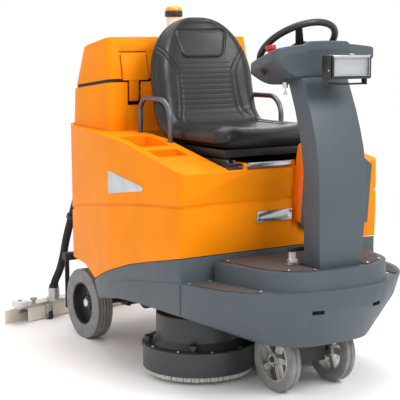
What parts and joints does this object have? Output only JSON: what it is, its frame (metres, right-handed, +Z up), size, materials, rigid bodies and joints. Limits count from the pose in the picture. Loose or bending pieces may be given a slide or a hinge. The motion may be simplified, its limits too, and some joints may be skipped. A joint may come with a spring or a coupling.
{
  "type": "ride-on floor scrubber dryer",
  "caption": "Orange and grey ride-on floor scrubber with driver's seat, steering column, round brushes under a skirted deck, curved rear squeegee and hinged recovery tank lid.",
  "frame": {"origin": "centre of the footprint, on the floor", "axes": "+X forwards as the driver faces, +Y to the driver's left, +Z up"},
  "size_m": [1.8749, 1.1126, 1.42],
  "materials": {
    "orange_plastic": "smooth moulded orange plastic, soft gloss",
    "grey_plastic": "slate grey moulded plastic, fine satin grain",
    "dark_plastic": "black plastic, satin",
    "deck_plastic": "dark grey moulded plastic",
    "light_plastic": "light grey plastic",
    "frame_paint": "dark powder coat",
    "rail_paint": "silver grey paint",
    "bright_steel": "zinc plated steel",
    "alloy": "cast aluminium",
    "black_rubber": "black rubber",
    "mat_rubber": "textured anti-slip rubber",
    "grey_tyre": "non-marking grey rubber",
    "blade_rubber": "pale squeegee rubber",
    "vinyl": "black grained vinyl over foam",
    "amber": "amber translucent plastic",
    "red_plastic": "red plastic",
    "orange_red": "orange red plastic",
    "lens": "clear lamp lens",
    "bristle": "white bristles on a moulded disc"
  },
  "bodies": {
    "machine": {"chassis_frame": "frame_paint", "chassis_cover": "grey_plastic", "platform_mat": "mat_rubber", "step_mats": "mat_rubber", "deck_screws": "bright_steel", "solution_tank": "orange_plastic", "front_catch": "bright_steel", "service_panel": "grey_plastic", "service_handle": "orange_red", "recovery_tank": "orange_plastic", "tank_seal": "black_rubber", "arm_rails": "rail_paint", "column_cover": "grey_plastic", "console": "grey_plastic", "console_display": "dark_plastic", "lamp_bracket": "frame_paint", "drive_axle": "frame_paint", "battery_pack": "dark_plastic", "vacuum_motor": "dark_plastic", "rear_brackets": "frame_paint", "pedal_bracket": "bright_steel", "suction_hose": "black_rubber"},
    "filler_cap": {"solution_cap": "dark_plastic"},
    "lid": {"tank_lid": "orange_plastic", "beacon_base": "light_plastic", "beacon_dome": "amber"},
    "latch": {"lid_latch": "orange_plastic"},
    "seat_mount": {"seat_plate": "frame_paint", "seat_rails": "bright_steel"},
    "seat": {"seat_pan": "dark_plastic", "seat_cushion": "vinyl", "seat_back": "vinyl"},
    "slide_lever": {"seat_lever": "orange_red"},
    "steering": {"steering_shaft": "bright_steel", "steering_wheel": "dark_plastic"},
    "lamp": {"lamp_housing": "dark_plastic", "lamp_lens": "lens"},
    "pedal": {"drive_pedal": "light_plastic"},
    "fork": {"steering_fork": "frame_paint"},
    "front_wheel_right": {"front_tyre_right": "grey_tyre", "front_hub_right": "alloy"},
    "front_wheel_left": {"front_tyre_left": "grey_tyre", "front_hub_left": "alloy"},
    "rear_wheel_right": {"rear_tyre_right": "grey_tyre", "rear_rim_right": "dark_plastic"},
    "rear_wheel_left": {"rear_tyre_left": "grey_tyre", "rear_rim_left": "dark_plastic"},
    "lift_arms": {"deck_arms": "frame_paint"},
    "deck": {"brush_deck": "deck_plastic", "brush_motors": "frame_paint"},
    "right_brush": {"brush_right": "bristle"},
    "left_brush": {"brush_left": "bristle"},
    "squeegee": {"squeegee_arm": "frame_paint", "squeegee_holder": "alloy", "squeegee_blades": "blade_rubber"},
    "casters": {"squeegee_casters": "black_rubber"},
    "roller_right": {"end_roller_right": "light_plastic"},
    "roller_left": {"end_roller_left": "light_plastic"},
    "key": {"ignition_key": "bright_steel"},
    "estop": {"estop_button": "red_plastic"}
  },
  "joints": [
    {"name": "front_steer", "type": "hinge", "parent": "machine", "child": "fork", "pos_m": [0.675, 0, 0.3], "axis": [0, 0, 1], "range_deg": [-60, 60]},
    {"name": "steering_wheel_turn", "type": "hinge", "parent": "machine", "child": "steering", "pos_m": [0.623, 0, 1.246], "axis": [-0.5878, 0, 0.809], "range_deg": [-120, 120]},
    {"name": "front_wheel_right_spin", "type": "hinge", "parent": "fork", "child": "front_wheel_right", "pos_m": [0.675, -0.125, 0.119], "axis": [0, 1, 0], "continuous": true},
    {"name": "front_wheel_left_spin", "type": "hinge", "parent": "fork", "child": "front_wheel_left", "pos_m": [0.675, 0.125, 0.119], "axis": [0, 1, 0], "continuous": true},
    {"name": "rear_wheel_right_spin", "type": "hinge", "parent": "machine", "child": "rear_wheel_right", "pos_m": [-0.411, -0.333, 0.15], "axis": [0, 1, 0], "continuous": true},
    {"name": "rear_wheel_left_spin", "type": "hinge", "parent": "machine", "child": "rear_wheel_left", "pos_m": [-0.411, 0.333, 0.15], "axis": [0, 1, 0], "continuous": true},
    {"name": "deck_lift", "type": "hinge", "parent": "machine", "child": "lift_arms", "pos_m": [-0.04, 0, 0.286], "axis": [0, -1, 0], "range_deg": [-4, 10.8]},
    {"name": "deck_level", "type": "hinge", "parent": "lift_arms", "child": "deck", "pos_m": [0.15, 0, 0.205], "axis": [0, -1, 0], "range_deg": [-10.8, 4]},
    {"name": "brush_right_spin", "type": "hinge", "parent": "deck", "child": "right_brush", "pos_m": [0.308, -0.231, 0.06], "axis": [0, 0, 1], "continuous": true},
    {"name": "brush_left_spin", "type": "hinge", "parent": "deck", "child": "left_brush", "pos_m": [0.308, 0.231, 0.06], "axis": [0, 0, 1], "continuous": true},
    {"name": "squeegee_lift", "type": "hinge", "parent": "machine", "child": "squeegee", "pos_m": [-0.52, 0, 0.225], "axis": [0, 1, 0], "range_deg": [0, 12], "deforming": ["suction_hose"]},
    {"name": "squeegee_caster_spin", "type": "hinge", "parent": "squeegee", "child": "casters", "pos_m": [-0.798, 0, 0.0185], "axis": [0, 1, 0], "continuous": true},
    {"name": "end_roller_right_spin", "type": "hinge", "parent": "squeegee", "child": "roller_right", "pos_m": [-0.79497, -0.49001, 0.09], "axis": [0, 0, 1], "continuous": true},
    {"name": "end_roller_left_spin", "type": "hinge", "parent": "squeegee", "child": "roller_left", "pos_m": [-0.79497, 0.49001, 0.09], "axis": [0, 0, 1], "continuous": true},
    {"name": "lid_open", "type": "hinge", "parent": "machine", "child": "lid", "pos_m": [-0.599, 0, 1.072], "axis": [0, -1, 0], "range_deg": [0, 80]},
    {"name": "latch_open", "type": "hinge", "parent": "lid", "child": "latch", "pos_m": [-0.18368, -0.23, 1.216], "axis": [0, -1, 0], "range_deg": [0, 35]},
    {"name": "cap_turn", "type": "hinge", "parent": "machine", "child": "filler_cap", "pos_m": [0.43, 0.35, 0.85], "axis": [0, 0, 1], "range_deg": [0, 90]},
    {"name": "seat_tilt", "type": "hinge", "parent": "machine", "child": "seat_mount", "pos_m": [0.557, -0.08, 0.818], "axis": [0, 1, 0], "range_deg": [0, 30]},
    {"name": "seat_slide", "type": "slide", "parent": "seat_mount", "child": "seat", "axis": [1, 0, 0], "range_m": [-0.05, 0.05]},
    {"name": "seat_lever_swing", "type": "hinge", "parent": "seat_mount", "child": "slide_lever", "pos_m": [0.43, -0.136, 0.82], "axis": [0, 0, 1], "range_deg": [0, 15], "stiffness_Nm_per_rad": 0.5},
    {"name": "pedal_press", "type": "hinge", "parent": "machine", "child": "pedal", "pos_m": [0.751, -0.116, 0.492], "axis": [0, 1, 0], "range_deg": [0, 14], "stiffness_Nm_per_rad": 10, "springref_deg": -5.73},
    {"name": "lamp_tilt", "type": "hinge", "parent": "machine", "child": "lamp", "pos_m": [0.894, 0, 1.178], "axis": [0, 1, 0], "range_deg": [-20, 20]},
    {"name": "estop_press", "type": "slide", "parent": "machine", "child": "estop", "axis": [0.2934, 0, -0.956], "range_m": [0, 0.006], "stiffness_N_per_m": 800, "springref_m": -0.002},
    {"name": "key_turn", "type": "hinge", "parent": "machine", "child": "key", "pos_m": [0.722, -0.128, 1.11], "axis": [0, 0, 1], "range_deg": [0, 90]}
  ],
  "couplings": [
    {"joint": "steering_wheel_turn", "follows": "front_steer", "ratio": 2},
    {"joint": "deck_level", "follows": "deck_lift", "ratio": -1}
  ]
}
